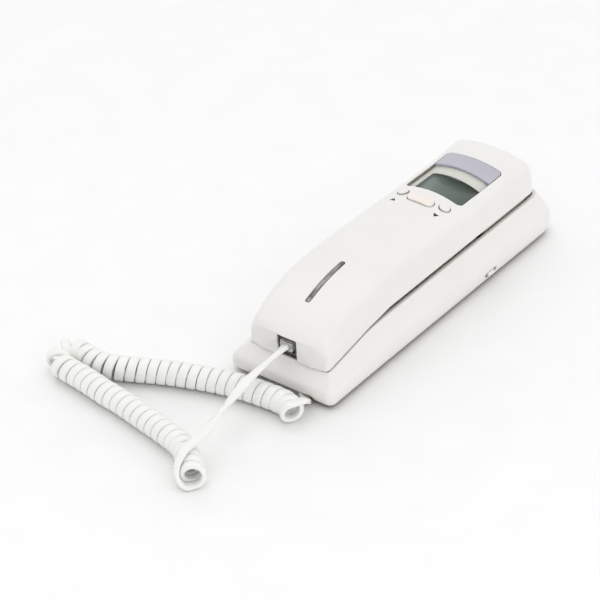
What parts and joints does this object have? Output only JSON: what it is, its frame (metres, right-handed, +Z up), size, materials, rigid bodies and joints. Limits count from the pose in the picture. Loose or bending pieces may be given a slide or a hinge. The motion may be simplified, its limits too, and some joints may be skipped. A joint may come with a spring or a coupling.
{
  "type": "slimline corded telephone",
  "caption": "Slim corded telephone: cradle base, handset with a caller display on its back and a keypad inside, curly cord.",
  "frame": {"origin": "on the table under the middle of the base, at the underside of its feet", "axes": "+Z up out of the cradle, +Y towards the ear end, -Y towards the cord end, +X to the side with the ringer knob"},
  "size_m": [0.145, 0.3093, 0.0518],
  "materials": {
    "white_plastic": "warm white moulded ABS, satin gloss",
    "cream_plastic": "cream moulded ABS",
    "silver_band": "silver-grey painted band, plain",
    "clear_plastic": "clear moulded polycarbonate",
    "lamp": "water-clear lamp body",
    "display_glass": "dark grey-green liquid crystal glass",
    "rubber": "soft pale rubber",
    "black_plastic": "black moulded nylon",
    "circuit_board": "green solder mask over glass-epoxy board",
    "steel": "zinc-plated steel",
    "contact_metal": "springy brass strip on its block",
    "cord_cover": "white PVC cord cover"
  },
  "bodies": {
    "base": {"cradle_shell": "white_plastic", "bottom_cover": "white_plastic", "hook_contact": "contact_metal", "base_circuit_board": "circuit_board", "ringer_disc": "black_plastic", "base_weight": "steel", "base_cord_jack": "black_plastic", "line_jack": "black_plastic", "foot_1": "rubber", "foot_2": "rubber", "foot_3": "rubber", "foot_4": "rubber", "base_screw_1": "steel", "base_screw_2": "steel", "base_screw_3": "steel", "base_screw_4": "steel", "base_plug": "clear_plastic", "coil_near": "cord_cover", "coil_bend": "cord_cover", "coil_far": "cord_cover", "cord_tail": "cord_cover"},
    "handset": {"back_shell": "white_plastic", "face_shell": "white_plastic", "display_band": "silver_band", "display_window": "clear_plastic", "lcd_frame": "cream_plastic", "lcd_glass": "display_glass", "display_board": "circuit_board", "lamp_lens": "clear_plastic", "lamp_led": "lamp", "keypad_mat": "rubber", "main_board": "circuit_board", "receiver": "black_plastic", "microphone": "black_plastic", "handset_weight": "steel", "handset_jack": "black_plastic", "handset_screw_1": "steel", "handset_screw_2": "steel", "handset_plug": "clear_plastic", "cord_lead": "cord_cover"},
    "hook_plunger": {"hook_plunger": "white_plastic"},
    "ringer_knob": {"ringer_knob": "cream_plastic"},
    "up_key": {"up_key": "white_plastic"},
    "set_key": {"set_key": "cream_plastic"},
    "down_key": {"down_key": "white_plastic"},
    "key_1": {"key_1": "cream_plastic"},
    "key_2": {"key_2": "cream_plastic"},
    "key_3": {"key_3": "cream_plastic"},
    "key_4": {"key_4": "cream_plastic"},
    "key_5": {"key_5": "cream_plastic"},
    "key_6": {"key_6": "cream_plastic"},
    "key_7": {"key_7": "cream_plastic"},
    "key_8": {"key_8": "cream_plastic"},
    "key_9": {"key_9": "cream_plastic"},
    "key_star": {"key_star": "cream_plastic"},
    "key_0": {"key_0": "cream_plastic"},
    "key_hash": {"key_hash": "cream_plastic"},
    "key_redial": {"key_redial": "cream_plastic"},
    "key_flash": {"key_flash": "cream_plastic"},
    "key_mute": {"key_mute": "cream_plastic"}
  },
  "joints": [
    {"name": "handset_lift", "type": "slide", "parent": "base", "child": "handset", "axis": [0, 0, 1], "range_m": [0, 0.06]},
    {"name": "hook_plunger_travel", "type": "slide", "parent": "base", "child": "hook_plunger", "axis": [0, 0, 1], "range_m": [0, 0.004]},
    {"name": "ringer_knob_slide", "type": "slide", "parent": "base", "child": "ringer_knob", "axis": [0, 1, 0], "range_m": [-0.0025, 0.0025]},
    {"name": "up_key_press", "type": "slide", "parent": "handset", "child": "up_key", "axis": [0, 0, -1], "range_m": [0, 0.0008], "stiffness_N_per_m": 150, "springref_m": -0.0015},
    {"name": "set_key_press", "type": "slide", "parent": "handset", "child": "set_key", "axis": [0, 0, -1], "range_m": [0, 0.0008], "stiffness_N_per_m": 150, "springref_m": -0.0015},
    {"name": "down_key_press", "type": "slide", "parent": "handset", "child": "down_key", "axis": [0, 0, -1], "range_m": [0, 0.0008], "stiffness_N_per_m": 150, "springref_m": -0.0015},
    {"name": "key_1_press", "type": "slide", "parent": "handset", "child": "key_1", "axis": [0, 0, 1], "range_m": [0, 0.0008], "stiffness_N_per_m": 150, "springref_m": -0.0015},
    {"name": "key_2_press", "type": "slide", "parent": "handset", "child": "key_2", "axis": [0, 0, 1], "range_m": [0, 0.0008], "stiffness_N_per_m": 150, "springref_m": -0.0015},
    {"name": "key_3_press", "type": "slide", "parent": "handset", "child": "key_3", "axis": [0, 0, 1], "range_m": [0, 0.0008], "stiffness_N_per_m": 150, "springref_m": -0.0015},
    {"name": "key_4_press", "type": "slide", "parent": "handset", "child": "key_4", "axis": [0, 0, 1], "range_m": [0, 0.0008], "stiffness_N_per_m": 150, "springref_m": -0.0015},
    {"name": "key_5_press", "type": "slide", "parent": "handset", "child": "key_5", "axis": [0, 0, 1], "range_m": [0, 0.0008], "stiffness_N_per_m": 150, "springref_m": -0.0015},
    {"name": "key_6_press", "type": "slide", "parent": "handset", "child": "key_6", "axis": [0, 0, 1], "range_m": [0, 0.0008], "stiffness_N_per_m": 150, "springref_m": -0.0015},
    {"name": "key_7_press", "type": "slide", "parent": "handset", "child": "key_7", "axis": [0, 0, 1], "range_m": [0, 0.0008], "stiffness_N_per_m": 150, "springref_m": -0.0015},
    {"name": "key_8_press", "type": "slide", "parent": "handset", "child": "key_8", "axis": [0, 0, 1], "range_m": [0, 0.0008], "stiffness_N_per_m": 150, "springref_m": -0.0015},
    {"name": "key_9_press", "type": "slide", "parent": "handset", "child": "key_9", "axis": [0, 0, 1], "range_m": [0, 0.0008], "stiffness_N_per_m": 150, "springref_m": -0.0015},
    {"name": "key_star_press", "type": "slide", "parent": "handset", "child": "key_star", "axis": [0, 0, 1], "range_m": [0, 0.0008], "stiffness_N_per_m": 150, "springref_m": -0.0015},
    {"name": "key_0_press", "type": "slide", "parent": "handset", "child": "key_0", "axis": [0, 0, 1], "range_m": [0, 0.0008], "stiffness_N_per_m": 150, "springref_m": -0.0015},
    {"name": "key_hash_press", "type": "slide", "parent": "handset", "child": "key_hash", "axis": [0, 0, 1], "range_m": [0, 0.0008], "stiffness_N_per_m": 150, "springref_m": -0.0015},
    {"name": "key_redial_press", "type": "slide", "parent": "handset", "child": "key_redial", "axis": [0, 0, 1], "range_m": [0, 0.0008], "stiffness_N_per_m": 150, "springref_m": -0.0015},
    {"name": "key_flash_press", "type": "slide", "parent": "handset", "child": "key_flash", "axis": [0, 0, 1], "range_m": [0, 0.0008], "stiffness_N_per_m": 150, "springref_m": -0.0015},
    {"name": "key_mute_press", "type": "slide", "parent": "handset", "child": "key_mute", "axis": [0, 0, 1], "range_m": [0, 0.0008], "stiffness_N_per_m": 150, "springref_m": -0.0015}
  ],
  "couplings": [
    {"joint": "hook_plunger_travel", "follows": "handset_lift", "ratio": 0.0666}
  ]
}
